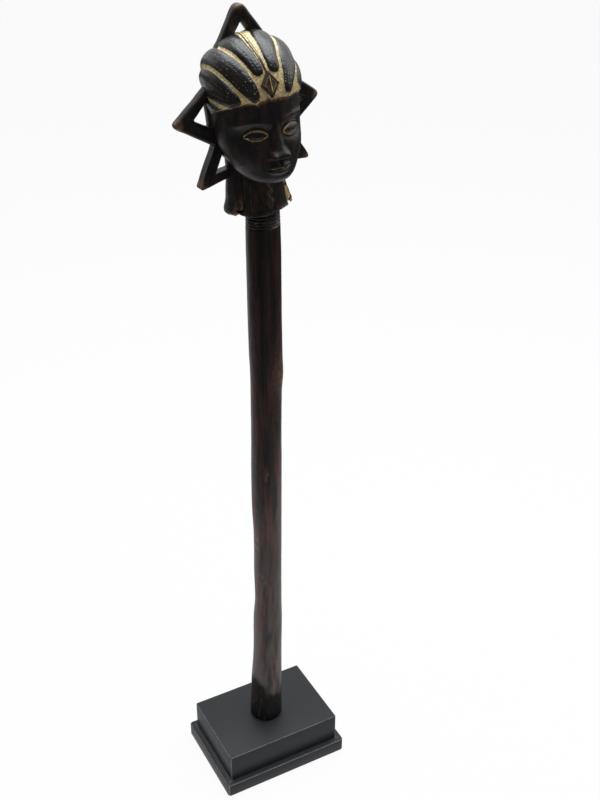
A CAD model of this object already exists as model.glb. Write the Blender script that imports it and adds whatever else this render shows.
import math

import bmesh
import bpy
from mathutils import Matrix, Vector, noise


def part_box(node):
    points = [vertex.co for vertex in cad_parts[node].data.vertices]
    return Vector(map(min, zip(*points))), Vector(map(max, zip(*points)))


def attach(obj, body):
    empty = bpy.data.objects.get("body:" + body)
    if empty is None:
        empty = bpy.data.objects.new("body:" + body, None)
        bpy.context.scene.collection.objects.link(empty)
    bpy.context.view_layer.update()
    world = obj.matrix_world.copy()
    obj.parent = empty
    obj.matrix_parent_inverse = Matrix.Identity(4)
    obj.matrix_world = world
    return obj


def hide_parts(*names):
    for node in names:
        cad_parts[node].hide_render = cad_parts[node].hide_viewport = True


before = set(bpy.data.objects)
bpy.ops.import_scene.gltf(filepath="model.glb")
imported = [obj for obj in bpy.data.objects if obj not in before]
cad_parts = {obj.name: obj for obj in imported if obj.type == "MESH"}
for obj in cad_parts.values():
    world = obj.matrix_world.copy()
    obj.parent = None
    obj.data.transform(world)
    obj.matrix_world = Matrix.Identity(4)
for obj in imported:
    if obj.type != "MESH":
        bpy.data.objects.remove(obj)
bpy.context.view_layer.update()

# Camera
# The photograph looks down on the whole staff from its front left, with a slightly long lens.
# Its place and angles are worked out from the corners of the two-tier stand.
camera_turn = math.radians(-28.61)
camera_dip = math.radians(29.93)
camera_roll = math.radians(0.24)
camera_data = bpy.data.cameras.new("photograph_view")
camera_data.sensor_width = 36
camera_data.lens = 49.5
camera_data.clip_end = 60
camera = bpy.data.objects.new("photograph_view", camera_data)
spot = Matrix.Translation((-0.3672, -0.7452, 0.8952))
aim = Matrix.Rotation(camera_turn, 4, "Z") @ Matrix.Rotation(math.pi / 2 - camera_dip, 4, "X")
camera.matrix_world = spot @ aim @ Matrix.Rotation(camera_roll, 4, "Z")
bpy.context.scene.collection.objects.link(camera)
bpy.context.scene.camera = camera


# Stand tiers
# Two solid wooden tiers, sprayed satin black and rubbed down, screwed together from below.
# The arrises are softly sanded, so the paint is thin and paler there, with a few chips to bare wood.
def tone(hex_colour):
    channels = [int(hex_colour[start:start + 2], 16) / 255 for start in (1, 3, 5)]
    linear = [c / 12.92 if c <= 0.04045 else ((c + 0.055) / 1.055) ** 2.4 for c in channels]
    return (*linear, 1.0)


def add(finish, kind, sockets=None, **options):
    """A node with its options set. A socket takes a value, an output or a node's first output."""
    node = finish.node_tree.nodes.new("ShaderNode" + kind)
    for name, value in options.items():
        setattr(node, name, value)
    for name, value in (sockets or {}).items():
        if isinstance(value, bpy.types.Node):
            value = value.outputs[0]
        if isinstance(value, bpy.types.NodeSocket):
            finish.node_tree.links.new(value, node.inputs[name])
        else:
            node.inputs[name].default_value = value
    return node


def new_finish(name):
    finish = bpy.data.materials.new(name)
    finish.use_nodes = True
    finish.node_tree.nodes.clear()
    return finish


# Numbers of a Mix node's sockets: two colours and the mixed one, then two plain values.
MIX_A, MIX_B, MIX_COLOUR = 6, 7, 2
MIX_LOW, MIX_HIGH = 2, 3


def painted_wood():
    finish = new_finish("satin_black_sprayed_wood")
    place = add(finish, "TexCoord").outputs["Object"]
    # Clouding of the rubbed paint in patches of about 30 mm.
    cloud = add(finish, "TexNoise", {"Vector": place, "Scale": 33, "Detail": 3, "Roughness": 0.55})
    cloud_share = add(finish, "MapRange", {"Value": cloud, "From Min": 0.35, "From Max": 0.65})
    # Grain of the wood that shows through the paint, 1.5 mm across and 60 mm long.
    along = add(finish, "Mapping", {"Vector": place, "Scale": (16, 660, 660)})
    grain = add(finish, "TexNoise", {"Vector": along, "Scale": 1, "Detail": 4, "Roughness": 0.6})
    # Thin paint along the arrises, broken up by 4 mm patches.
    worn = add(finish, "Attribute", attribute_name="worn")
    rub = add(finish, "TexNoise", {"Vector": place, "Scale": 250, "Detail": 3, "Roughness": 0.6})
    rub_share = add(finish, "MapRange", {"Value": rub, "From Min": 0.2, "From Max": 0.5})
    thin = add(finish, "Math", {0: worn.outputs["Fac"], 1: rub_share}, operation="MULTIPLY")
    # A few chips of 2 to 3 mm through to the wood, only on the arrises.
    chip = add(finish, "TexNoise", {"Vector": place, "Scale": 130, "Detail": 2, "Roughness": 0.5})
    chip_share = add(finish, "MapRange", {"Value": chip, "From Min": 0.69, "From Max": 0.72})
    bare = add(finish, "Math", {0: worn.outputs["Fac"], 1: chip_share}, operation="MULTIPLY")
    # The paint's black, then its clouding, its thin grey arrises and the bare wood over that.
    colour = tone("#27282b")
    for share, shade in ((cloud_share, "#292a2d"), (thin, "#808386"), (bare, "#6a4b35")):
        colour = add(finish, "Mix", {
            0: share, MIX_A: colour, MIX_B: tone(shade),
        }, data_type="RGBA").outputs[MIX_COLOUR]
    gloss = add(finish, "MapRange", {"Value": cloud, "To Min": 0.44, "To Max": 0.48})
    # Fine tooth of the sprayed coat, 0.7 mm, drawn a little coarser than life so that it shows.
    tooth = add(finish, "TexNoise", {"Vector": place, "Scale": 1400, "Detail": 2, "Roughness": 0.5})
    relief = add(finish, "Math", {0: grain, 1: tooth}, operation="ADD")
    bump = add(finish, "Bump", {"Height": relief, "Strength": 0.25, "Distance": 0.00012})
    surface = add(finish, "BsdfPrincipled", {
        "Base Color": colour, "Roughness": gloss,
        "Normal": bump, "IOR": 1.48, "Specular IOR Level": 0.3,
    })
    add(finish, "OutputMaterial", {"Surface": surface})
    return finish


def settle(name, shape, finish, body, crease=35):
    """Makes a finished shape a named piece that rides on its body."""
    for face in shape.faces:
        face.smooth = True
    for edge in shape.edges:
        edge.smooth = edge.calc_face_angle(0) < math.radians(crease)
    mesh = bpy.data.meshes.new(name)
    shape.to_mesh(mesh)
    shape.free()
    mesh.materials.append(finish)
    piece = bpy.data.objects.new(name, mesh)
    bpy.context.scene.collection.objects.link(piece)
    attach(piece, body)
    return piece


# Where a normal squares with an axis by less than this, the face is a rounded arris. Nothing is worn
# round the staff's foot or on the hidden faces below.
arris_squareness, arris_gain = 0.9, 8
unworn_radius, lowest_slope = 0.03, -0.2


def sanded_tier(name, node, finish):
    """The tier's solid, merged, with its rounded arrises marked as worn."""
    shape = bmesh.new()
    shape.from_mesh(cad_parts[node].data)
    bmesh.ops.remove_doubles(shape, verts=shape.verts, dist=1e-6)
    shape.normal_update()
    worn = shape.verts.layers.float.new("worn")
    for vert in shape.verts:
        squareness = max(abs(axis) for axis in vert.normal)
        outer = vert.normal.z > lowest_slope and vert.co.xy.length > unworn_radius
        wear = (arris_squareness - squareness) * arris_gain
        vert[worn] = min(1.0, max(0.0, wear)) if outer else 0.0
    tier = settle(name, shape, finish, "stand", crease=50)
    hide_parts(node)


black_paint = painted_wood()
sanded_tier("upper_tier", "base_block", black_paint)
sanded_tier("lower_tier", "base_plate", black_paint)


# Felt
# A sheet of charcoal wool felt, die cut and glued under the lower tier so that the stand doesn't scratch.
# Its edge is slightly soft and fibrous.
def wool_felt():
    finish = new_finish("charcoal_wool_felt")
    place = add(finish, "TexCoord").outputs["Object"]
    # Matted fibres 0.5 mm across, coarser than wool so that they show.
    fibres = add(finish, "TexNoise", {
        "Vector": place, "Scale": 2000, "Detail": 4, "Roughness": 0.7, "Distortion": 1.2,
    })
    matting = add(finish, "MapRange", {"Value": fibres, "From Min": 0.3, "From Max": 0.7})
    colour = add(finish, "Mix", {
        0: matting, MIX_A: tone("#151517"), MIX_B: tone("#2b2b2e"),
    }, data_type="RGBA")
    bump = add(finish, "Bump", {"Height": fibres, "Strength": 0.6, "Distance": 0.0003})
    surface = add(finish, "BsdfPrincipled", {
        "Base Color": colour.outputs[MIX_COLOUR], "Roughness": 0.95, "Normal": bump,
        "Specular IOR Level": 0.2, "Sheen Weight": 0.3, "Sheen Roughness": 0.5,
    })
    add(finish, "OutputMaterial", {"Surface": surface})
    return finish


def soften(shape, edges, offset, segments, clamp=False):
    """Rounds edges over, and gives the faces that this makes."""
    return bmesh.ops.bevel(
        shape, geom=edges, offset=offset, offset_type="OFFSET", segments=segments, profile=0.5,
        affect="EDGES", material=-1, clamp_overlap=clamp,
    )["faces"]


def sharp_edges(shape, angle):
    """Edges whose two faces turn by more than an angle in radians."""
    return [edge for edge in shape.edges if edge.calc_face_angle(0) > angle]


felt_low, felt_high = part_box("felt_pad")
felt_size = felt_high - felt_low
# Roundings of its corners and of its edge in metres, and the least turn of an arris in radians.
felt_corner, felt_edge, felt_arris = 0.003, 0.0002, 1.2
felt = bmesh.new()
bmesh.ops.create_cube(felt, size=1)
bmesh.ops.scale(felt, vec=felt_size, verts=felt.verts)
bmesh.ops.translate(felt, vec=(felt_low + felt_high) / 2, verts=felt.verts)
corners = [e for e in felt.edges if abs(e.verts[0].co.z - e.verts[1].co.z) > felt_size.z / 2]
soften(felt, corners, felt_corner, segments=6)
soften(felt, sharp_edges(felt, felt_arris), felt_edge, segments=2)
felt_sheet = settle("felt_sheet", felt, wool_felt(), "stand")
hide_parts("felt_pad")


# Peg and fasteners
# The square peg is bright mild steel bar, sawn, filed and chamfered, turned down to a rod below the block.
# Its nut, washer and the four countersunk screws are zinc plated, and out of sight under the felt.
def filed_steel():
    finish = new_finish("filed_mild_steel")
    place = add(finish, "TexCoord").outputs["Object"]
    # File marks along the bar, 0.4 mm apart.
    along = add(finish, "Mapping", {"Vector": place, "Scale": (2500, 2500, 60)})
    marks = add(finish, "TexNoise", {"Vector": along, "Scale": 1, "Detail": 3, "Roughness": 0.6})
    # Light oil stains in patches of 8 mm.
    stain = add(finish, "TexNoise", {"Vector": place, "Scale": 120, "Detail": 3, "Roughness": 0.6})
    stained = add(finish, "MapRange", {"Value": stain, "From Min": 0.45, "From Max": 0.7})
    colour = add(finish, "Mix", {
        0: stained, MIX_A: tone("#9a9c9f"), MIX_B: tone("#6f6a63"),
    }, data_type="RGBA")
    gloss = add(finish, "MapRange", {"Value": marks, "To Min": 0.26, "To Max": 0.46})
    bump = add(finish, "Bump", {"Height": marks, "Strength": 0.4, "Distance": 0.00008})
    surface = add(finish, "BsdfPrincipled", {
        "Base Color": colour.outputs[MIX_COLOUR], "Metallic": 1, "Roughness": gloss,
        "Normal": bump,
    })
    add(finish, "OutputMaterial", {"Surface": surface})
    return finish


def zinc_plate():
    finish = new_finish("bright_zinc_plated_steel")
    place = add(finish, "TexCoord").outputs["Object"]
    # Faint clouding of the plating in 3 mm patches, from grey to straw.
    cloud = add(finish, "TexNoise", {"Vector": place, "Scale": 330, "Detail": 3, "Roughness": 0.6})
    colour = add(finish, "Mix", {
        0: cloud, MIX_A: tone("#a9acb0"), MIX_B: tone("#b5ad95"),
    }, data_type="RGBA")
    gloss = add(finish, "MapRange", {"Value": cloud, "To Min": 0.22, "To Max": 0.42})
    surface = add(finish, "BsdfPrincipled", {
        "Base Color": colour.outputs[MIX_COLOUR], "Metallic": 1, "Roughness": gloss,
    })
    add(finish, "OutputMaterial", {"Surface": surface})
    return finish


def refinish(node, finish):
    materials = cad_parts[node].data.materials
    materials.clear()
    materials.append(finish)


refinish("stand_peg", filed_steel())
plated = zinc_plate()
for fastener in ("peg_nut", "peg_washer", "tier_screw_1", "tier_screw_2", "tier_screw_3", "tier_screw_4"):
    refinish(fastener, plated)


# Carved wood
# The staff is one billet of dense hardwood, carved with adze and knife, blackened and oiled by years of
# hands. It is near black with red-brown heartwood, greys low down, and keeps tan clay in its cuts.
foot_height = 0.046
staff_foot = Vector((0, 0, foot_height))


def blackened_wood(name, black, streak, streak_length, specular, polish, depth):
    """Colours are hex values, streak_length and depth metres, polish the least roughness."""
    finish = new_finish(name)
    place = add(finish, "TexCoord").outputs["Object"]
    height = add(finish, "SeparateXYZ", {"Vector": place}).outputs["Z"]
    # Heartwood streaks 5 mm wide along the grain.
    along = add(finish, "Mapping", {"Vector": place, "Scale": (200, 200, 1 / streak_length)})
    heart = add(finish, "TexNoise", {
        "Vector": along, "Scale": 1, "Detail": 5, "Roughness": 0.62, "Distortion": 0.4,
    })
    # They fade out upward, where the wood is blackest.
    blackest = add(finish, "MapRange", {
        "Value": height, "From Min": 0.3, "From Max": 0.5, "To Min": 1, "To Max": 0.35,
    })
    heart_share = add(finish, "MapRange", {
        "Value": heart, "From Min": 0.44, "From Max": 0.68, "To Max": blackest,
    })
    # Open pores 0.6 mm across and 12 mm long.
    fine = add(finish, "Mapping", {"Vector": place, "Scale": (1700, 1700, 80)})
    pores = add(finish, "TexNoise", {"Vector": fine, "Scale": 1, "Detail": 3, "Roughness": 0.6})
    pore_share = add(finish, "MapRange", {"Value": pores, "From Min": 0.52, "From Max": 0.7})
    # Grey bloom where the lower shaft is dry and rubbed, from 360 mm above the table down, in patches
    # 7 mm across and 42 mm long.
    low = add(finish, "MapRange", {"Value": height, "From Min": 0.36, "From Max": 0.13})
    drawn = add(finish, "Mapping", {"Vector": place, "Scale": (140, 140, 24)})
    bloom = add(finish, "TexNoise", {"Vector": drawn, "Scale": 1, "Detail": 4, "Roughness": 0.6})
    bloom_share = add(finish, "MapRange", {
        "Value": bloom, "From Min": 0.38, "From Max": 0.57, "To Max": 0.85,
    })
    grey = add(finish, "Math", {0: low, 1: bloom_share}, operation="MULTIPLY")
    # Dry, unhandled wood, at the foot and behind the head: dark and rough, with slanting tan scuffs
    # 2.4 mm wide and 11 mm long.
    unhandled = add(finish, "Attribute", attribute_name="dry")
    slanting = add(finish, "Mapping", {
        "Vector": place, "Scale": (420, 420, 90), "Rotation": (0.35, 0.5, 0),
    })
    scuff = add(finish, "TexNoise", {"Vector": slanting, "Scale": 1, "Detail": 4, "Roughness": 0.7})
    scuff_share = add(finish, "MapRange", {"Value": scuff, "From Min": 0.55, "From Max": 0.68})
    scuffed = add(finish, "Mix", {
        0: scuff_share, MIX_A: tone("#0c0908"), MIX_B: tone("#4a3a2b"),
    }, data_type="RGBA")
    # Tips, rims, scars and the dusty band under the hair, bared to brown wood in patches of 3 mm.
    worn = add(finish, "Attribute", attribute_name="worn")
    rub = add(finish, "TexNoise", {"Vector": place, "Scale": 300, "Detail": 4, "Roughness": 0.65})
    rub_share = add(finish, "MapRange", {"Value": rub, "From Min": 0.36, "From Max": 0.6})
    bared = add(finish, "Math", {0: worn.outputs["Fac"], 1: rub_share}, operation="MULTIPLY")
    # Dry clay pressed into the cuts, two tans in 1.5 mm crumbs, with its edge broken up by the same crumbs.
    # It is paler over the crown, and browner down at the brow.
    clay = add(finish, "Attribute", attribute_name="clay")
    crumbs = add(finish, "TexNoise", {"Vector": place, "Scale": 650, "Detail": 5, "Roughness": 0.65})
    washed = add(finish, "MapRange", {
        "Value": height, "From Min": 0.695, "From Max": 0.73, "To Min": -0.15, "To Max": 0.12,
    })
    clay_tone = add(finish, "Math", {0: crumbs, 1: washed}, operation="ADD")
    clay_tone = add(finish, "MapRange", {"Value": clay_tone, "From Min": 0.35, "From Max": 0.65})
    clay_colour = add(finish, "Mix", {
        0: clay_tone, MIX_A: tone("#a08856"), MIX_B: tone("#f4e3b4"),
    }, data_type="RGBA")
    ragged = add(finish, "MapRange", {"Value": crumbs, "To Min": -0.45, "To Max": 0.45})
    clay_edge = add(finish, "Math", {0: clay.outputs["Fac"], 1: ragged}, operation="ADD")
    clay_share = add(finish, "MapRange", {"Value": clay_edge, "From Min": 0.4, "From Max": 0.6})
    # The black wood, then its streaks, pores, bloom, dry and worn parts, and the clay over all of them.
    colour = tone(black)
    for share, shade in (
        (heart_share, tone(streak)), (pore_share, tone("#0b0807")),
        (grey, tone("#574d4a")), (unhandled.outputs["Fac"], scuffed.outputs[MIX_COLOUR]),
        (bared, tone("#7d5d43")), (clay_share, clay_colour.outputs[MIX_COLOUR]),
    ):
        layer = add(finish, "Mix", {0: share, MIX_A: colour, MIX_B: shade}, data_type="RGBA")
        colour = layer.outputs[MIX_COLOUR]
    # Oiled wood is half glossy, unhandled wood and clay are dry.
    sheen = add(finish, "MapRange", {"Value": bloom, "To Min": polish, "To Max": polish + 0.14})
    dry = add(finish, "Math", {0: clay_share, 1: unhandled.outputs["Fac"]}, operation="MAXIMUM")
    gloss = add(finish, "Mix", {0: dry, MIX_LOW: sheen, MIX_HIGH: 0.8}, data_type="FLOAT")
    # Relief: knife facets of 4 mm and pores everywhere, crumbs only in clay, scuffs only on dry wood.
    facets = add(finish, "TexNoise", {"Vector": place, "Scale": 240, "Detail": 2, "Roughness": 0.5})
    relief = facets
    for pattern, share in (
        (pore_share, -0.3), (crumbs, clay_share),
        (scuff, unhandled.outputs["Fac"]),
    ):
        relief = add(finish, "Math", {0: pattern, 1: share, 2: relief}, operation="MULTIPLY_ADD")
    bump = add(finish, "Bump", {"Height": relief, "Strength": 0.5, "Distance": depth})
    surface = add(finish, "BsdfPrincipled", {
        "Base Color": colour, "Roughness": gloss,
        "Normal": bump, "IOR": 1.5, "Specular IOR Level": specular,
    })
    add(finish, "OutputMaterial", {"Surface": surface})
    return finish


shaft_wood = blackened_wood("oiled_blackened_hardwood", "#0c0605", "#5e281a", 0.07, 0.45, 0.34, 0.0004)
head_wood = blackened_wood("handled_blackened_hardwood", "#110d0c", "#4a2a20", 0.02, 0.5, 0.34, 0.0003)
hair_wood = blackened_wood("polished_blackened_hardwood", "#12100f", "#3a2520", 0.02, 0.8, 0.26, 0.0002)


# Shaft
# A peeled and scraped pole that keeps the bends and one knot of its branch, with five rings cut under the
# head. Its foot is sawn square and mortised for the peg. From here to the lozenge, sizes are millimetres.
staff_scale = Matrix.Scale(0.001, 4)
shaft_length = 544.5
shaft_lean = 5.3
head_tilt = math.radians(5.56)
mortise_half = 4.8
mortise_depth = 57
ring_count, ring_pitch, ring_depth, ring_width = 5, 2.6, 0.9, 0.55
# The top of the shaft bends over with the tilt of the head, between these heights above the foot.
bend_low, bend_high = 505, 533
knot_place, knot_rise, knot_reach, knot_wear = Vector((11, -8, 398)), 0.7, 6, 9
# Unevenness left by the hand: size across the grain, size along it, and depth.
facet_form, ripple_form, rough_form = (8, 42, 0.32), (3, 11, 0.1), (2.4, 5, 0.3)
# The dry, dark foot: how high it reaches, how much lower it is in front, and how softly it ends.
foot_top, foot_dip, foot_blend = 53, 17, 6

# Height in millimetres above the foot, radius, and how far the middle leans to the side.
shaft_stations = [
    (0, 16.1, 0.7), (11, 16.1, 0.85), (41, 15.4, 1.8), (82, 14.1, 3.35), (126, 13.9, 4.3), (147, 13.0, 4.9),
    (185, 13.1, 4.85), (226, 13.2, 5.3), (262, 13.8, 4.75), (332, 13.6, 5.25), (376, 13.6, 5.65),
    (398, 13.9, 6.0), (425, 14.4, 5.6), (480, 14.4, 5.1), (512, 14.3, 5.0), (531, 14.1, 4.9),
    (544.5, 13.8, 4.6), (566, 12.2, 3.2),
]


def follow(stations, height, column):
    """A smooth value between stations, by a cubic through them."""
    last = len(stations) - 1
    index = next((i for i in range(last) if height <= stations[i + 1][0]), last - 1)
    before, low, high, after = (stations[min(max(i, 0), last)] for i in range(index - 1, index + 3))
    span = high[0] - low[0]
    share = min(max((height - low[0]) / span, 0), 1)
    leave = (high[column] - before[column]) / (high[0] - before[0]) * span
    arrive = (after[column] - low[column]) / (after[0] - low[0]) * span
    square, cube = share * share, share ** 3
    return (
        (2 * cube - 3 * square + 1) * low[column] + (cube - 2 * square + share) * leave
        + (3 * square - 2 * cube) * high[column] + (cube - square) * arrive
    )


def ease(low, high, value):
    share = min(max((value - low) / (high - low), 0), 1)
    return share * share * (3 - 2 * share)


def cut(distance, width):
    return math.exp(-((distance / width) ** 2))


def ring_cut(height):
    """Depth of the ring grooves at a height above the foot."""
    middles = [shaft_length - (ring + 0.5) * ring_pitch for ring in range(ring_count)]
    return sum(ring_depth * cut(height - middle, ring_width) for middle in middles)


def waver(x, y, z, form, shift=0):
    """Random height of a hand-worked surface, up to the form's depth either way."""
    across, along, depth = form
    return depth * noise.noise(Vector((x / across, y / across, z / along + shift)))


def turned(outline, steps):
    """A shell turned about the upright axis from an outline of radius and height."""
    shape = bmesh.new()
    profile = [shape.verts.new((radius, 0, height)) for radius, height in outline]
    edges = [shape.edges.new(pair) for pair in zip(profile, profile[1:])]
    bmesh.ops.spin(
        shape, geom=profile + edges, axis=(0, 0, 1), cent=(0, 0, 0), angle=math.tau, steps=steps,
        use_merge=True, use_duplicate=False,
    )
    return shape


def open_edges(shape):
    return [edge for edge in shape.edges if edge.is_boundary]


def new_verts(result):
    return [item for item in result["geom"] if isinstance(item, bmesh.types.BMVert)]


def carved(name, shape, place, finish, crease):
    """Sets a form in its place on the staff, as a named part of the billet."""
    bmesh.ops.transform(shape, matrix=place, verts=shape.verts)
    return settle(name, shape, finish, "staff", crease)


# Rows of the mesh: close at the rounded foot and over the rings, and a few inside the head.
foot_rounding = {0: 1.2, 0.3: 0.7, 0.8: 0.3, 1.6: 0}
plain_pitch, fine_pitch = 2.2, 0.26
shaft_heights = list(foot_rounding)
while shaft_heights[-1] < shaft_length - 20:
    shaft_heights.append(shaft_heights[-1] + plain_pitch)
while shaft_heights[-1] < shaft_length + 1:
    shaft_heights.append(shaft_heights[-1] + fine_pitch)
shaft_heights += [shaft_length + 6, shaft_length + 14, shaft_length + 20]
# Knocks in the surface: side, front and height of the middle, width, length, slant and depth.
shaft_scars = [
    (-9.6, -9.2, 180, 2.2, 1.5, -1.6, 0.9), (-8, -10.6, 171, 1.5, 5, -0.4, 0.9),
    (-13.2, -1, 223, 3, 2, 0, 0.7), (-13.2, -1.4, 214, 3, 1.8, 0, 0.6),
    (-6, -12, 300, 1.8, 7, 0.2, 0.35), (4, -13, 252, 1.6, 9, 0, 0.3),
]

outline = [
    (follow(shaft_stations, height, 1) - ring_cut(height) - foot_rounding.get(height, 0), height)
    for height in shaft_heights
]
shaft = turned(outline + [(0, shaft_heights[-1])], steps=112)
bmesh.ops.remove_doubles(shaft, verts=shaft.verts, dist=1e-4)
clay = shaft.verts.layers.float.new("clay")
worn = shaft.verts.layers.float.new("worn")
dry = shaft.verts.layers.float.new("dry")
for vert in shaft.verts:
    height = vert.co.z
    out = Vector((vert.co.x, vert.co.y, 0))
    if out.length > 0.01:
        facet = waver(out.x, out.y, height, facet_form)
        ripple = waver(out.x, out.y, height, ripple_form, shift=40)
        roughened = ease(48, 20, height) * waver(out.x, out.y, height, rough_form)
        knot = vert.co - knot_place
        knot.z /= 2
        scarred = sum(
            depth * math.exp(-(((out.x - x) / wide) ** 2 + ((out.y - y) / wide) ** 2
                               + ((height - middle - slant * (out.x - x)) / tall) ** 2))
            for x, y, middle, wide, tall, slant, depth in shaft_scars
        )
        swelling = knot_rise * cut(knot.length, knot_reach)
        vert.co += out.normalized() * (facet + ripple + roughened + swelling - scarred)
        scar_wear = max(0, 0.5 - abs(scarred - 0.3)) if scarred > 0.1 else 0
        vert[worn] = 0.75 * cut(knot.length, knot_wear) + scar_wear
    # The dark foot is highest at the left and behind, and lower in front and at the right.
    turn = math.degrees(math.atan2(out.x, -out.y))
    dip = foot_dip * ease(-62, -22, turn) * ease(120, 80, turn)
    foot_edge = foot_top - dip + waver(out.x, out.y, height, (5, 16, 9))
    vert[dry] = ease(foot_edge + foot_blend, foot_edge - foot_blend, height)
    dusty = 0.5 + waver(out.x, out.y, height, (4, 2, 0.9))
    vert[clay] = min(1, ring_cut(height) / ring_depth) * 0.62 * max(dusty, 0)
    tilt = Matrix.Rotation(-head_tilt * ease(bend_low, bend_high, height), 3, "Y")
    across = tilt @ Vector((vert.co.x, vert.co.y, 0))
    vert.co = Vector((follow(shaft_stations, height, 2), 0, height)) + across
    vert.co.z = max(vert.co.z, 0)

foot_edges = open_edges(shaft)
square = bmesh.ops.create_circle(shaft, segments=112, radius=1)["verts"]
for vert in square:
    reach = mortise_half / max(abs(vert.co.x), abs(vert.co.y))
    vert.co = Vector((vert.co.x * reach, vert.co.y * reach, 0))
square_edges = list({edge for vert in square for edge in vert.link_edges})
bmesh.ops.bridge_loops(shaft, edges=foot_edges + square_edges)
mortise_top = new_verts(bmesh.ops.extrude_edge_only(shaft, edges=square_edges))
bmesh.ops.translate(shaft, vec=(0, 0, mortise_depth), verts=mortise_top)
bmesh.ops.holes_fill(shaft, edges=open_edges(shaft), sides=0)
bmesh.ops.recalc_face_normals(shaft, faces=shaft.faces)
shaft_place = Matrix.Translation(staff_foot) @ staff_scale
shaft_piece = carved("shaft", shaft, shaft_place, shaft_wood, crease=50)
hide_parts("staff")


# Collar
# Under the jaw the billet flares into a bell, cut with upright lines and a column of three lozenges in
# front. A wider half cone stands behind it, with clay left in the step between them.
head_place = (
    shaft_place @ Matrix.Translation((shaft_lean, 0, shaft_length)) @ Matrix.Rotation(-head_tilt, 4, "Y")
)
# Height above the rings and radius, before the bell is drawn wider and shallower.
bell_stations = [
    (2.5, 18.5), (2.9, 19.6), (3.6, 20), (5.4, 19.4), (9, 18.8), (14, 18.3), (20, 17.8), (28, 17.2),
    (40, 16.6),
]
bell_width, bell_depth = 1.05, 0.87
bell_mean_radius, bell_core = 16, 10
rim_droop, bell_cut_depth = 1.9, 0.6
line_pitch = math.radians(8.2)
panel_half = math.radians(21)
lozenge_cut, middle_cut, line_cut = 0.42, 0.35, 0.38
# Height of the middle, length and half width of each lozenge.
lozenge_column = [(11.2, 9.6, 3.6), (20, 7.8, 3.3), (27.6, 7.2, 3.0)]


def bell_cut(turn, height):
    """How deep the knife went into the bell, from 0 to 1, at an angle from its front."""
    side = abs(turn)
    fade = ease(4.4, 6.2, height)
    if side < panel_half - 0.02:
        along_front = side * bell_mean_radius
        best = 0
        for middle, length, half in lozenge_column:
            off = abs(height - middle)
            if off < length / 2 + 0.6:
                edge = half * (1 - 2 * off / length)
                slant = math.cos(math.atan2(2 * half, length))
                best = max(best, cut((along_front - edge) * slant, lozenge_cut))
                if off < length * 0.28:
                    best = max(best, 0.5 * cut(along_front, middle_cut))
                best -= 0.6 * ease(edge - 0.7, edge - 1.3, along_front) * (edge > 1.3)
        return best * fade
    wander = 0.02 * noise.noise(Vector((side * 3, height / 9, 2 + (turn > 0))))
    nearest = (side - panel_half + wander) % line_pitch
    nearest = min(nearest, line_pitch - nearest)
    return cut(nearest * bell_mean_radius, line_cut) * fade


bell_heights = [2.5, 2.7, 2.9, 3.2, 3.6]
while bell_heights[-1] < 39:
    bell_heights.append(bell_heights[-1] + 0.45)
outline = [(follow(bell_stations, height, 1), height) for height in bell_heights]
bell = turned([(bell_core, bell_heights[0]), *outline, (bell_core, bell_heights[-1])], steps=360)
bmesh.ops.holes_fill(bell, edges=open_edges(bell), sides=0)
clay = bell.verts.layers.float.new("clay")
worn = bell.verts.layers.float.new("worn")
for vert in bell.verts:
    height = vert.co.z
    vert.co.x *= bell_width
    vert.co.y *= bell_depth
    # The rim droops at both sides of the corner that faces the front left.
    beside_corner = abs(0.88 * vert.co.x + 0.48 * vert.co.y)
    vert.co.z -= rim_droop * ease(4, 16, beside_corner) * ease(16, 4, height)
    out = Vector((vert.co.x, vert.co.y, 0))
    if out.length > 12 and height > 2.6:
        turn = math.atan2(out.x, -out.y)
        depth = bell_cut(turn, height)
        rim_line = cut(height - 4.6, 0.35)
        lip = 0.4 * ease(4.2, 3.4, height)
        uneven = waver(out.x, out.y, height, (5, 8, 0.25))
        vert.co += out.normalized() * (uneven - bell_cut_depth * max(depth, 0.7 * rim_line))
        lumps = noise.noise(vert.co / 3)
        vert[clay] = 0.8 * ease(-3, 1.5, vert.co.y) * ease(30, 8, height) * (0.8 + 0.7 * lumps)
        # The lozenges are rubbed browner than the upright lines, on their cuts and inside.
        rubbed = max((1.3 if abs(turn) < panel_half else 0.5) * depth, -0.9 * depth)
        dusty = 0.5 + waver(out.x, out.y, height, (3, 4, 0.8))
        vert[worn] = min(1, max(rubbed, 0.8 * rim_line, 1.4 * lip) * max(dusty, 0))
bmesh.ops.recalc_face_normals(bell, faces=bell.faces)
carved("collar_bell", bell, head_place, head_wood, crease=60)

flap_stations = [(2.3, 28.2), (3, 29), (8, 27.1), (14, 25.0), (25, 22.9), (39, 21.5), (61, 21)]
flap_front, flap_skew = -2, 0.0925
flap_middle, flap_depth = 7, 0.8
flap_rounding, flap_arris = 3, 0.7
flap_heights = [2.3, 2.6, 3] + [3 + 1.4 * step for step in range(1, 43)]
outline = [(follow(flap_stations, height, 1), height) for height in flap_heights]
flap = turned([(0, flap_heights[0]), *outline, (0, flap_heights[-1])], steps=120)
bmesh.ops.remove_doubles(flap, verts=flap.verts, dist=1e-4)
bmesh.ops.scale(flap, vec=(1, flap_depth, 1), verts=flap.verts)
bmesh.ops.translate(flap, vec=(0, flap_middle, 0), verts=flap.verts)
bmesh.ops.bisect_plane(
    flap, geom=flap.verts[:] + flap.edges[:] + flap.faces[:], plane_co=(0, flap_front, 0),
    plane_no=(flap_skew, -1, 0), clear_outer=True,
)
bmesh.ops.holes_fill(flap, edges=open_edges(flap), sides=0)
bmesh.ops.recalc_face_normals(flap, faces=flap.faces)
soften(flap, sharp_edges(flap, flap_arris), flap_rounding, segments=4)
clay = flap.verts.layers.float.new("clay")
worn = flap.verts.layers.float.new("worn")
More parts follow.
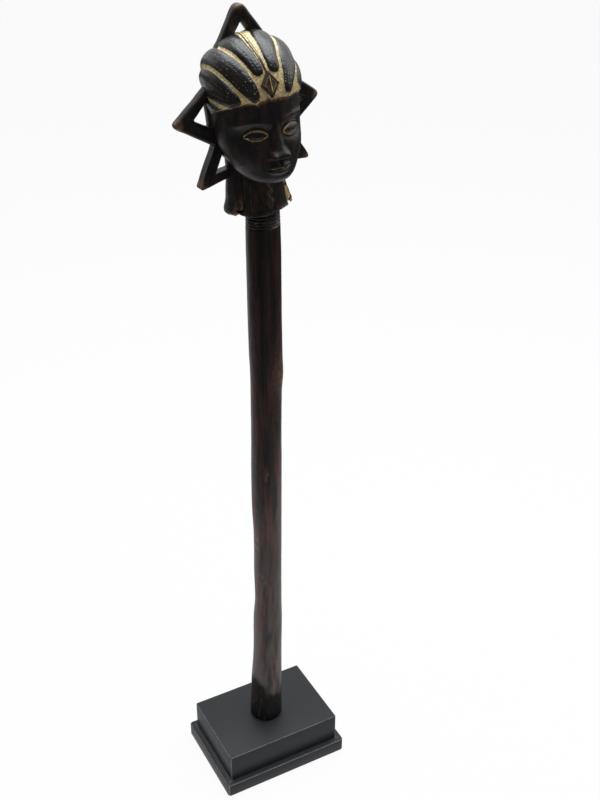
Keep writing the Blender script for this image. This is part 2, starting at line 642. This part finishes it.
for vert in flap.verts:
    shift = 0.3 * noise.noise(vert.co / 7) + 0.12 * noise.noise(vert.co / 2.5)
    vert.co += Vector((vert.co.x, vert.co.y - flap_middle, 0)).normalized() * shift
    behind_front = vert.co.y - flap_front - flap_skew * vert.co.x
    # The rim of its front edge is worn uneven: up at the far left, down at the right.
    rim_lift = 2.9 * ease(18, 28, -vert.co.x) - 0.9 - 1.2 * ease(10, 22, vert.co.x)
    vert.co.z += rim_lift * ease(14, 0, behind_front) * ease(16, 3, vert.co.z)
    vert.co.x -= 0.6 + 1.7 * ease(3, 22, vert.co.z) * (vert.co.x < 0)
    step = ease(3.4, 1.4, behind_front) * ease(34, 14, vert.co.z)
    lumps = noise.noise(vert.co / 4)
    vert[clay] = (0.25 if vert.co.x < 0 else 0.9) * step * (0.75 + 0.8 * lumps)
    vert[worn] = step * ease(20, 7, vert.co.z) * (0.7 - lumps)
carved("collar_flap", flap, head_place, head_wood, crease=50)


# Star
# Five open points stand out behind the head, sawn out of the same billet, each a triangle of bars round a
# window. Their tips are blunt and rubbed brown, and all their arrises are rounded by handling.
star_top, star_foot = 162.5, 26.1
star_half_width = 62.7
star_back, star_thickness = 9, 9
star_rounding, star_arris = 2.3, 0.5
# Edges longer than this are cut into short lengths, so that the sawn bars can waver.
longest_edge, bar_cuts = 5, 11

# Tip and two hidden corners of each point, then the corners of its window, as shares of the half width
# and of the height, and how far its tip is cut back.
star_points = [
    (
        [(0.014, 0.995), (-0.49, 0.64), (0.79, 0.4295)],
        [(0.012, 0.872), (-0.285, 0.69), (0.255, 0.69)], 9.6,
    ),
    (
        [(0.99, 0.39), (0.45, 0.587), (0.44, 0.193)],
        [(0.74, 0.39), (0.51, 0.448), (0.51, 0.331)], 5.6,
    ),
    (
        [(-1.014, 0.39), (-0.44, 0.206), (-0.45, 0.594)],
        [(-0.743, 0.401), (-0.547, 0.343), (-0.553, 0.484)], 4.6,
    ),
    (
        [(0.77, 0.026), (0.47, 0.3), (-0.1, 0.088)],
        [(0.53, 0.095), (0.415, 0.2), (0.265, 0.105)], 4.6,
    ),
    (
        [(-0.793, -0.002), (0.1, 0.085), (-0.446, 0.298)],
        [(-0.557, 0.076), (-0.28, 0.095), (-0.437, 0.179)], 4.2,
    ),
]


def star_corner(shares, depth):
    return Vector((
        shares[0] * star_half_width, star_back + depth, star_foot + shares[1] * (star_top - star_foot),
    ))


def star_point(name, outer, window, tip_cut):
    """A triangular board with its window cut out, its tip blunted and every arris rounded."""
    shape = bmesh.new()
    circle = bmesh.ops.create_circle(shape, segments=3, radius=star_half_width, cap_ends=True)
    corners = circle["verts"]
    for vert, corner in zip(corners, outer):
        vert.co = star_corner(corner, -star_thickness / 2)
    pane = shape.faces[:]
    bmesh.ops.inset_region(shape, faces=pane, thickness=1, use_boundary=True)
    for vert in pane[0].verts:
        partner = next(e.other_vert(vert) for e in vert.link_edges if e.other_vert(vert) in corners)
        vert.co = star_corner(window[corners.index(partner)], -star_thickness / 2)
    bmesh.ops.delete(shape, geom=pane, context="FACES_ONLY")
    lifted = new_verts(bmesh.ops.extrude_face_region(shape, geom=shape.faces[:]))
    bmesh.ops.translate(shape, vec=(0, star_thickness, 0), verts=lifted)
    bmesh.ops.recalc_face_normals(shape, faces=shape.faces)
    tip = star_corner(outer[0], 0)
    near_tip = [v for v in shape.verts if (v.co - tip).length < star_thickness]
    tip_edges = [
        e for e in shape.edges
        if all(v in near_tip for v in e.verts) and e.calc_length() > star_thickness / 2
    ]
    soften(shape, tip_edges, tip_cut, segments=5)
    soften(shape, sharp_edges(shape, star_arris), star_rounding, segments=4, clamp=True)
    bmesh.ops.triangulate(shape, faces=[f for f in shape.faces if len(f.verts) > 4])
    long_edges = [e for e in shape.edges if e.calc_length() > longest_edge]
    bmesh.ops.subdivide_edges(shape, edges=long_edges, cuts=bar_cuts, use_grid_fill=True)
    bmesh.ops.triangulate(shape, faces=[f for f in shape.faces if len(f.verts) > 4])
    worn = shape.verts.layers.float.new("worn")
    for vert in shape.verts:
        away = (vert.co - tip).length
        vert[worn] = ease(11, 5, away) * (0.75 + 0.7 * noise.noise(vert.co / 4))
        vert.co += 0.35 * noise.noise_vector(vert.co / 9) + 0.12 * noise.noise_vector(vert.co / 3)
    carved(name, shape, head_place, head_wood, crease=60)


# A fixed seed: without one, noise_vector takes its pattern from the clock.
noise.seed_set(1)
for number, (outer, window, tip_cut) in enumerate(star_points, start=1):
    star_point(f"star_point_{number}", outer, window, tip_cut)


# Head
# The head is carved in the round and polished by handling: a smooth oval with arched brows, lowered lids,
# a straight nose and small closed lips. Clay is left in the thin cuts round the eyes and between the lips.
head_shift = 0.8
chin_height, crown_height = 32.5, 132.5
skull_half_width, skull_reach = 34.2, 37.5
brow_height, eye_height, nose_base, mouth_height = 78, 71, 53, 45
arch_base, arch_rise = 79.2, 2.6
eye_offset, eye_half_width = 15, 8.5
socket_width, socket_height, socket_depth = 11.5, 7.4, 2.4
upper_lid, lower_lid, lid_rise = 4.1, 3.4, 2.4
rim_cut_width, crease_width, slit_width = 0.56, 0.45, 0.36
mouth_half = 9.4
# The mesh is closer over the face than behind it and above it.
front_crowding, low_crowding = 0.42, 0.28
# The muzzle, chin, cheeks and the hollows below them: how far to the side, height, half width, half
# height and rise.
face_swells = [
    (0, mouth_height + 1, 13, 8.5, 1.7), (0, 37, 9, 4.6, 1.5), (19, 57, 8, 9, 1.2), (15, 43, 7, 6, -0.5),
]

# Height share from chin to crown, then the squares of half width, front reach and back reach shares.
skull_stations = [
    (-0.012, 0, 0.62, -0.62), (0, 0.07, 0.83, -0.36), (0.018, 0.21, 0.9, -0.16),
    (0.063, 0.41, 0.945, 0.16), (0.135, 0.62, 0.96, 0.43), (0.225, 0.81, 0.96, 0.64),
    (0.335, 0.92, 0.97, 0.8), (0.46, 0.98, 0.985, 0.91), (0.57, 1, 1, 0.97),
    (0.68, 1, 1, 1), (0.77, 0.92, 0.95, 0.97), (0.86, 0.69, 0.81, 0.83),
    (0.93, 0.37, 0.6, 0.61), (0.98, 0.11, 0.33, 0.33), (1, 0.01, 0.06, 0.06),
]


def face_relief(x, z):
    """How far the face stands proud of the plain oval, and how much clay lies there."""
    side = abs(x)
    rise = 0.0
    clay_here = 0.0
    # Brow arch over each eye.
    if 2 < side < 31:
        arch = arch_base + arch_rise * math.sin(math.pi * min(max((side - 3) / 26, 0), 1))
        rise += 1.1 * cut(z - arch, 2.3) * ease(2, 6, side) * ease(31, 24, side)
    # Eye socket, then an almond of two lids with a slit between them, a cut round it and a crease above.
    bowl = math.hypot((side - eye_offset) / socket_width, (z - eye_height - 0.4) / socket_height)
    rise -= socket_depth * math.exp(-(bowl ** 3.2))
    along = (side - eye_offset) / eye_half_width
    room = 1 - along * along
    if room > 0:
        above = z > eye_height
        half = (upper_lid if above else lower_lid) * room ** 0.8
        outside = abs(z - eye_height) - half
        within = min(abs(z - eye_height) / max(half, 0.01), 1)
        rise += lid_rise * math.sqrt(1 - within ** 2) * room ** 0.4
        rise += 0.7 * cut(outside - 1.15, 0.75) * room ** 0.4
        rim_cut = cut(outside, rim_cut_width)
        rise -= 0.5 * rim_cut
        crease = cut(outside - 2.7, crease_width) * room ** 0.5 if above else 0
        rise -= 0.45 * crease
        slit = cut(z - (eye_height - 1.5 + 1.1 * along * along), slit_width) * ease(1, 0.85, within)
        rise -= 0.5 * slit
        clay_here = max(1.15 * rim_cut, 0.6 * slit, 0.25 * crease)
    # Nose: a straight ridge that widens into the wings, cut off underneath.
    if nose_base - 3 < z < brow_height + 6:
        down = min(max((brow_height + 2 - z) / (brow_height + 2 - nose_base), 0), 1)
        ridge = 1.0 + 5.6 * down ** 1.25 + 1.5 * cut(down - 0.88, 0.12)
        half = 3.4 + 1.6 * down + 2.6 * ease(0.62, 0.9, down)
        across = min(side / (half * 1.28), 1)
        under = ease(nose_base - 1.8, nose_base + 1.6, z)
        top = ease(brow_height + 6, brow_height - 4, z)
        rise += ridge * (1 - across ** 2.4) ** 1.6 * under * top
        wing = math.hypot((side - 5.6) / 2.6, (z - nose_base - 2.6) / 3)
        rise += 2.1 * math.exp(-(wing ** 2.6)) * under
        crease_line = math.hypot((side - 8.3) / 0.8, (z - nose_base - 3) / 3.6)
        rise -= 0.45 * math.exp(-(crease_line ** 2))
    # Muzzle, chin and cheeks, then the lips and the line between them.
    rise += sum(
        swell * cut(side - middle, wide) * cut(z - height, tall)
        for middle, height, wide, tall, swell in face_swells
    )
    rise -= 0.5 * cut(x, 1.6) * ease(nose_base + 1, nose_base - 1, z) * ease(47.5, 49.5, z)
    if side < mouth_half:
        outward = (side / mouth_half) ** 2
        corner = 1 - outward
        bow = mouth_height + 2.2 - 0.5 * cut(x, 1.6) - 1.1 * outward
        rise += 1.5 * cut(z - bow, 1.5) * corner ** 0.7
        rise += 1.8 * cut(z - (mouth_height - 2.4 + 1.2 * outward), 1.8) * corner ** 0.8
        line = mouth_height + 0.25 * cut(x, 2) + 0.5 * outward
        between = cut(z - line, 0.42) * corner ** 0.4
        rise -= 1.2 * between
        clay_here = max(clay_here, 0.85 * between)
    return rise, clay_here


# The hairline: rolls to the side from the middle, and swings up from straight ahead, in degrees about a
# level axis. The brow's clay and the hair both keep to it.
hair_axis = Vector((0, 0, 78.5))
hairline_table = [
    (-84, 106), (-76, 84), (-71, 72), (-64, 57.5), (-54, 46), (-45, 39), (-38, 32), (-20, 30.2), (0, 28),
    (20, 28.6), (32, 31), (43, 36), (54, 46), (64, 57.5), (71, 72), (76, 84), (84, 106),
]


def between_rows(table, value, column=1):
    """A straight reading between the rows of a table."""
    if value <= table[0][0]:
        return table[0][column]
    for low, high in zip(table, table[1:]):
        if value <= high[0]:
            return low[column] + (high[column] - low[column]) * (value - low[0]) / (high[0] - low[0])
    return table[-1][column]


head = bmesh.new()
bmesh.ops.create_uvsphere(head, u_segments=360, v_segments=264, radius=1)
clay = head.verts.layers.float.new("clay")
dry = head.verts.layers.float.new("dry")
worn = head.verts.layers.float.new("worn")
for vert in head.verts:
    unit = vert.co.copy()
    level = math.asin(min(max(unit.z, -1), 1)) / math.pi + 0.5
    risen = (1 - low_crowding) * level + low_crowding * level ** 4
    share = skull_stations[0][0] * (1 - risen) + risen
    half_width = math.sqrt(max(follow(skull_stations, share, 1), 0)) * skull_half_width
    front = -follow(skull_stations, share, 2) * skull_reach
    back = follow(skull_stations, share, 3) * skull_reach
    turn = math.atan2(unit.x, -unit.y)
    turn -= front_crowding * math.sin(turn)
    middle, half_depth = (front + back) / 2, (back - front) / 2
    x, y = half_width * math.sin(turn), middle - half_depth * math.cos(turn)
    z = chin_height + share * (crown_height - chin_height)
    if 0.004 < level < 0.996:
        slope = Vector((math.sin(turn) / max(half_width, 1), -math.cos(turn) / max(half_depth, 1), 0))
        outward = slope.normalized()
    else:
        outward = Vector((0, 0, 1 if level > 0.5 else -1))
    rise, clay_here = (0, 0)
    if outward.y < 0 and z < 92:
        rise, clay_here = face_relief(x, z)
        rise *= ease(0, -0.35, outward.y)
        clay_here *= 0.95 + 0.3 * noise.noise(Vector((x, y, z)) / 3)
    rise += 0.22 * noise.noise(Vector((x, y, z)) / 9) + 0.07 * noise.noise(Vector((x, y, z)) / 3)
    vert.co = Vector((x, y, z)) + outward * rise
    # Clay that runs off the hair on to the brow, with a ragged lower edge.
    arm = vert.co - hair_axis
    swing = math.degrees(math.acos(min(max(-arm.y / max(arm.length, 1), -1), 1)))
    roll = math.degrees(math.atan2(arm.x, arm.z))
    short_of_hair = between_rows(hairline_table, roll) - swing
    ragged = 0.9 + 1.3 * noise.noise(Vector((roll / 9, 0, 5)))
    if abs(roll) < 90:
        clay_here = max(clay_here, 0.75 * ease(ragged + 1, ragged - 0.8, short_of_hair))
        vert[worn] = 0.8 * ease(ragged + 4, ragged, short_of_hair)
    vert[clay] = clay_here
    vert[dry] = 0.8 * ease(-8, 8, vert.co.y)
bmesh.ops.recalc_face_normals(head, faces=head.faces)
shifted_place = head_place @ Matrix.Translation((head_shift, 0, 0))
carved("head", head, shifted_place, head_wood, crease=70)


# Hair
# Eight ribbed lobes of hair run back from the brow over the crown, four on each side of a parting with two
# thin ridges. Rows of small holes are punched along each lobe, and tan clay fills the grooves.
hair_centre_rise = 18.7
hair_halves = Vector((39, 42, 42.2))
lobe_rise = 3.4
nape_swing, nape_droop = 160, 40
outer_roll = 84
# Rows of the mesh, closer at the hairline, and those at each end that sink into the head.
row_crowding, sunk_rows = 1.3, 1 / 60
groove_swings = [28, 45, 60, 75, 90, 110, 160]
groove_rolls = {
    "left_edge": [-84, -84, -84, -84, -84, -84, -84],
    "left_34": [-64, -64, -64.3, -65, -64, -61.5, -60],
    "left_23": [-44, -42.9, -40.5, -39, -38.8, -40, -40],
    "left_12": [-24, -19.4, -20, -21.4, -22.4, -21.8, -20],
    "parting_left": [-5.4, -5.7, -6.7, -7.5, -6.2, -5, -4],
    "parting_right": [-1.8, -2, -1.4, -0.4, 2.3, 3.2, 3],
    "right_12": [16, 14.3, 13.5, 17, 19.5, 20.5, 20],
    "right_23": [37, 36, 39, 39.5, 39.5, 40, 40],
    "right_34": [60, 60, 60, 61, 62, 61.5, 60],
    "right_edge": [84, 84, 84, 84, 84, 84, 84],
}
# Between each pair of neighbouring lines: the swing where that lobe starts, and its rows of holes.
two_rows, four_rows = (0.35, 0.68), (0.2, 0.4, 0.6, 0.8)
lobes = [
    (67, two_rows, "dots"), (44, (0.16, 0.34, 0.52, 0.7, 0.87), "dots"), (32, four_rows, "dots"),
    (47, (0.2, 0.45, 0.7), "dashes"), None, (46, (0.25, 0.5, 0.78), "dashes"),
    (31.5, four_rows, "dots"), (50, four_rows, "dots"), (67, two_rows, "dots"),
]
line_names = list(groove_rolls)
line_columns = [(groove_rolls[name][3] + outer_roll) / (2 * outer_roll) for name in line_names]


def hair_direction(roll, swing):
    droop = Matrix.Rotation(math.radians(-nape_droop * ease(90, 180, swing)), 3, "X")
    roll, swing = math.radians(roll), math.radians(swing)
    outward = math.sin(swing)
    return droop @ Vector((math.sin(roll) * outward, -math.cos(swing), math.cos(roll) * outward))


def dome_reach(direction):
    """How far the dome of the hair lies from its axis, in a direction."""
    start = Vector((0, 0, -hair_centre_rise / hair_halves.z))
    step = Vector(direction[i] / hair_halves[i] for i in range(3))
    a, b, c = step.dot(step), start.dot(step), start.dot(start) - 1
    return (-b + math.sqrt(b * b - a * c)) / a


def punched(lobe, across, along, width):
    """How deep a punched hole is here, from 0 to 1, and whether clay is left in it."""
    start, rows, kind = lobe
    pitch = 3.3 if kind == "dashes" else 2.5
    length, breadth = (1.0, 0.42) if kind == "dashes" else (0.55, 0.55)
    deepest, clay_left = 0, 0
    for number, row in enumerate(rows):
        stagger = 0.5 * (number % 2)
        index = math.floor(along / pitch + stagger)
        for hole in (index, index + 1):
            key = Vector((start + hole * 1.37, number * 5.1, len(rows) * 3.3))
            if noise.noise(key * 5) < -0.22:
                continue
            middle = (hole - stagger + 0.35 * noise.noise(key)) * pitch
            drift = row + 0.035 * noise.noise(key + Vector((7, 3, 1)))
            off = math.hypot((along - middle) / length, (across - drift) * width / breadth)
            if off < 1.6:
                depth = math.exp(-(off ** 2.4))
                if depth > deepest:
                    deepest = depth
                    clay_left = depth if kind == "dots" and noise.noise(key * 3) > 0.15 else 0
    return deepest, clay_left


hair = bmesh.new()
bmesh.ops.create_grid(hair, x_segments=340, y_segments=280, size=1)
clay = hair.verts.layers.float.new("clay")
for vert in hair.verts:
    column, row = (vert.co.x + 1) / 2, ((vert.co.y + 1) / 2) ** row_crowding
    gap = next((i for i in range(8) if column <= line_columns[i + 1]), 8)
    low_line, high_line = line_names[gap], line_names[gap + 1]
    in_gap = (column - line_columns[gap]) / (line_columns[gap + 1] - line_columns[gap])
    first_roll = (2 * column - 1) * outer_roll
    swing = between_rows(hairline_table, first_roll) * (1 - row) + nape_swing * row
    lines = [
        between_rows(list(zip(groove_swings, groove_rolls[name])), swing) for name in (low_line, high_line)
    ]
    roll = lines[0] + (lines[1] - lines[0]) * in_gap
    swing = between_rows(hairline_table, roll) * (1 - row) + nape_swing * row
    direction = hair_direction(roll, swing)
    reach = dome_reach(direction)
    arm = reach * math.sin(math.radians(swing))
    width = math.radians(lines[1] - lines[0]) * arm
    along = math.radians(swing) * reach
    rim = min(row / sunk_rows, (1 - row) / sunk_rows, 1)
    from_hairline = (swing - between_rows(hairline_table, roll)) * math.radians(reach)
    lobe = lobes[gap]
    if lobe is None:
        # The parting: two thin ridges in a bed of clay.
        sharp_ridge = cut((in_gap - 0.2) * width, 0.52)
        low_ridge = cut((in_gap - 0.46) * width, 0.45)
        rise = 0.36 + 0.26 * max(sharp_ridge, 0.7 * low_ridge)
        bare = 0.3 + 0.7 * ease(40, 54, swing)
        clay_here = 1.0 - (1.1 * sharp_ridge + 0.8 * low_ridge) * bare
    else:
        # A lobe: round in section and at both ends, with the clay lying below it. The grooves are 2 mm
        # wide, but the lobes beside the parting reach up to its clay.
        low_groove = 0.1 if gap == 5 else 1.0
        high_groove = 0.1 if gap == 3 else 1.0
        half = (width - low_groove - high_groove) / 2
        across = (in_gap * width - low_groove) / half - 1
        from_end = min(swing - lobe[0], nape_swing - swing) * math.radians(reach)
        past_end = max(0, 1 - from_end / min(max(1.3 * half, 3), 9))
        body = 1 - abs(across) ** 2.4 - past_end ** 2.2
        bulge = body ** 0.48 if body > 0 else 0
        rise = 0.3 + 0.7 * bulge
        clay_here = ease(0.4, 0.22, bulge) - 0.3 * ease(6, 0, from_hairline)
        if bulge > 0.55:
            hole, clay_left = punched(lobe, in_gap, along, width)
            rise -= 0.1 * hole
            clay_here = max(clay_here, 0.66 * clay_left)
    if clay_here > 0.5:
        rise += 0.05 * noise.noise(direction * 60)
        clay_here -= 0.45 * max(0, noise.noise(Vector((roll / 4, along / 9, 8))) - 0.12) * 2
    uneven = 0.35 * noise.noise(direction * 5.5) + 0.1 * noise.noise(direction * 17)
    reach -= lobe_rise * (1 - rise * rim) - uneven * rim
    # The carved dome isn't quite even: fuller over the left, flatter behind both temples.
    reach += 1.5 * cut(roll + 35, 8) * ease(55, 80, swing)
    reach -= 3.2 * ease(-45, -57, roll) * ease(58, 82, swing)
    reach -= 1.3 * ease(25, 45, roll) * ease(40, 60, swing)
    vert.co = hair_axis + direction * reach
    vert[clay] = clay_here
# The shell is closed inside the head, down to one point.
inner = new_verts(bmesh.ops.extrude_edge_only(hair, edges=open_edges(hair)))
bmesh.ops.pointmerge(hair, verts=inner, merge_co=hair_axis)
bmesh.ops.recalc_face_normals(hair, faces=hair.faces)
carved("hair", hair, shifted_place, hair_wood, crease=75)


# Lozenge
# A raised lozenge sits on the hairline over the nose, cut with a smaller lozenge and an upright line.
# It is part of the billet too. Clay stays in its cuts, and its rim is rubbed brown.
# How far it is swung up from straight ahead in degrees, moved to the side, and tipped back.
lozenge_swing, lozenge_side, lozenge_tip = 37.5, -2.8, math.radians(18)
lozenge_half_width, lozenge_half_height, lozenge_sunk = 6.9, 9.5, 7
ridge_half, ridge_rise = 0.32, 0.7
# Each step inwards: its width, how far it sinks, its clay and its wear.
lozenge_steps = [
    (0.4, 0.4, 0.4, 0.3), (1.1, 0.1, 0, 0), (0.25, -0.5, 0.7, 0), (0.3, 0, 0.7, 0), (0.2, 0.3, 0, 0.25),
]
lozenge = bmesh.new()
corners = bmesh.ops.create_circle(lozenge, segments=4, radius=1, cap_ends=True)["verts"]
bmesh.ops.scale(lozenge, vec=(lozenge_half_width, lozenge_half_height, 1), verts=corners)
top = lozenge.faces[:]
raised = bmesh.ops.extrude_face_region(lozenge, geom=top)["geom"]
top = [f for f in raised if isinstance(f, bmesh.types.BMFace)]
bmesh.ops.translate(lozenge, vec=(0, 0, lozenge_sunk), verts=top[0].verts[:])
bmesh.ops.recalc_face_normals(lozenge, faces=lozenge.faces)
clay = lozenge.verts.layers.float.new("clay")
worn = lozenge.verts.layers.float.new("worn")
for inset, sink, clay_level, worn_level in lozenge_steps:
    bmesh.ops.inset_region(lozenge, faces=top, thickness=inset, depth=sink, use_even_offset=True)
    for vert in top[0].verts:
        vert[clay] = clay_level
        vert[worn] = worn_level
ends = sorted(top[0].verts, key=lambda vert: vert.co.y)
middle = bmesh.ops.connect_verts(lozenge, verts=[ends[0], ends[-1]])["edges"]
ridge = soften(lozenge, middle, ridge_half, segments=1)
ridge_strip = max(ridge, key=lambda face: face.calc_area())
bmesh.ops.translate(lozenge, vec=(0, 0, ridge_rise), verts=ridge_strip.verts)
bmesh.ops.inset_region(lozenge, faces=[ridge_strip], thickness=0.08, use_even_offset=True)
for vert in ridge_strip.verts:
    vert[clay] = 0.75
outward = hair_direction(0, lozenge_swing)
centre = hair_axis + outward * (dome_reach(outward) + 0.2) + Vector((lozenge_side, 0, 0))
across = Vector((1, 0, 0))
facing = Vector((0, -math.cos(lozenge_tip), math.sin(lozenge_tip)))
upright = facing.cross(across)
stance = Matrix((across, upright, facing)).transposed().to_4x4()
sunk = Matrix.Translation((0, 0, -lozenge_sunk - 0.4))
lozenge_place = shifted_place @ Matrix.Translation(centre) @ stance @ sunk
carved("brow_lozenge", lozenge, lozenge_place, head_wood, crease=25)


# Studio
# A white floor, brightest on a long oval from under the stand to the back, a white wall behind, one broad
# soft lamp overhead and a smaller one at the right. The room in front is dim, so polished wood stays black.
# Sizes are metres here.
dim, bright = 0.06, 0.85

floor_finish = new_finish("pale_studio_floor")
floor_place = add(floor_finish, "TexCoord").outputs["Object"]
floor_oval = add(floor_finish, "Mapping", {
    "Vector": floor_place, "Location": (-0.1, -0.54, 0), "Scale": (1, 0.45, 1),
})
floor_reach = add(floor_finish, "VectorMath", {0: floor_oval}, operation="LENGTH")
mirrored = add(floor_finish, "MapRange", {
    "Value": floor_reach.outputs["Value"], "From Min": 0.6, "From Max": 0.95,
    "To Min": bright, "To Max": dim,
}, interpolation_type="SMOOTHSTEP")
rays = add(floor_finish, "LightPath")
# The eye sees plain white with a little of the shadow on it, and gloss mirrors the oval.
plain = add(floor_finish, "Math", {
    0: rays.outputs["Is Camera Ray"], 1: rays.outputs["Is Transmission Ray"],
}, operation="MAXIMUM")
plain = add(floor_finish, "Math", {0: plain, 1: 0.93}, operation="MULTIPLY")
share = add(floor_finish, "Math", {0: plain, 1: rays.outputs["Is Glossy Ray"]}, operation="MAXIMUM")
level = add(floor_finish, "Mix", {
    0: rays.outputs["Is Glossy Ray"], MIX_LOW: 1.0, MIX_HIGH: mirrored,
}, data_type="FLOAT")
matt = add(floor_finish, "BsdfDiffuse", {"Color": tone("#f0f0f0")})
glow = add(floor_finish, "Emission", {"Color": (1, 1, 1, 1), "Strength": level})
lit = add(floor_finish, "MixShader", {0: share, 1: matt, 2: glow})
add(floor_finish, "OutputMaterial", {"Surface": lit})
floor_shape = bmesh.new()
bmesh.ops.create_circle(floor_shape, segments=64, radius=14, cap_ends=True)
floor_mesh = bpy.data.meshes.new("floor")
floor_shape.to_mesh(floor_mesh)
floor_shape.free()
floor_mesh.materials.append(floor_finish)
floor = bpy.data.objects.new("floor", floor_mesh)
bpy.context.scene.collection.objects.link(floor)

# The walls: gloss mirrors them, bright at the back right and dim in front. The eye sees plain white.
room = bpy.data.worlds.new("studio")
room.use_nodes = True
room.node_tree.nodes.clear()
room_place = add(room, "TexCoord").outputs["Generated"]
room_reach = add(room, "VectorMath", {0: room_place, 1: (0.5, 0.87, 0)}, operation="DOT_PRODUCT")
sweep = add(room, "MapRange", {
    "Value": room_reach.outputs["Value"], "From Min": -0.2, "From Max": 0.6,
    "To Min": dim, "To Max": bright,
}, interpolation_type="SMOOTHSTEP")
rays = add(room, "LightPath")
level = add(room, "Mix", {
    0: rays.outputs["Is Glossy Ray"], MIX_LOW: 0.32, MIX_HIGH: sweep,
}, data_type="FLOAT")
plain = add(room, "Math", {
    0: rays.outputs["Is Camera Ray"], 1: rays.outputs["Is Transmission Ray"],
}, operation="MAXIMUM")
level = add(room, "Mix", {0: plain, MIX_LOW: level, MIX_HIGH: 1.0}, data_type="FLOAT")
air = add(room, "Background", {"Color": (1, 1, 1, 1), "Strength": level})
add(room, "OutputWorld", {"Surface": air})
bpy.context.scene.world = room


def softbox(name, spot, aimed_at, width, depth, power):
    lamp_data = bpy.data.lights.new(name, "AREA")
    lamp_data.shape = "RECTANGLE"
    lamp_data.size, lamp_data.size_y = width, depth
    lamp_data.energy = power
    lamp_data.color = (0.93, 0.97, 1.0)
    lamp = bpy.data.objects.new(name, lamp_data)
    facing = (Vector(spot) - Vector(aimed_at)).to_track_quat("Z", "Y")
    lamp.matrix_world = Matrix.Translation(spot) @ facing.to_matrix().to_4x4()
    lamp.visible_camera = False
    bpy.context.scene.collection.objects.link(lamp)


softbox("overhead_softbox", (0.18, 0.12, 1.9), (0.05, 0.0, 0.5), 1.8, 1.6, 34)
softbox("right_softbox", (1.4, -0.3, 1.35), (0, 0, 0.65), 0.9, 0.8, 3)

bpy.context.scene.view_settings.view_transform = "Standard"
